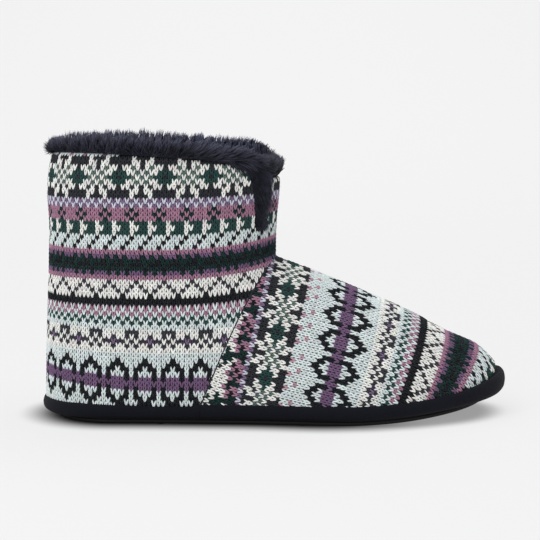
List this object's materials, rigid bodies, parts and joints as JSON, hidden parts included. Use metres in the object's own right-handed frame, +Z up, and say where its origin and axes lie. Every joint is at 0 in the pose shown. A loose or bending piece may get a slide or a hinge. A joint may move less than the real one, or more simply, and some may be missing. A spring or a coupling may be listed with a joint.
{
  "type": "bootie slipper",
  "caption": "Knitted ankle bootie slipper, right foot, with fur trim at the collar and side slit, navy sole band and black outsole.",
  "frame": {"origin": "on the floor, under the middle of the slipper's box", "axes": "+X to the toe, +Y to the inner side of the right foot, +Z up from the floor"},
  "size_m": [0.262, 0.097, 0.1581],
  "materials": {
    "outsole_rubber": "matt black, finely textured",
    "band_fabric": "matt navy textile, short nap",
    "insole_fabric": "dark plush",
    "knit": "matt knitted yarn in a many-coloured pattern",
    "fur": "navy-black faux fur with a soft sheen"
  },
  "bodies": {
    "root": {"outsole": "outsole_rubber", "midsole": "band_fabric", "insole": "insole_fabric", "upper": "knit", "fur_trim": "fur"}
  },
  "joints": []
}
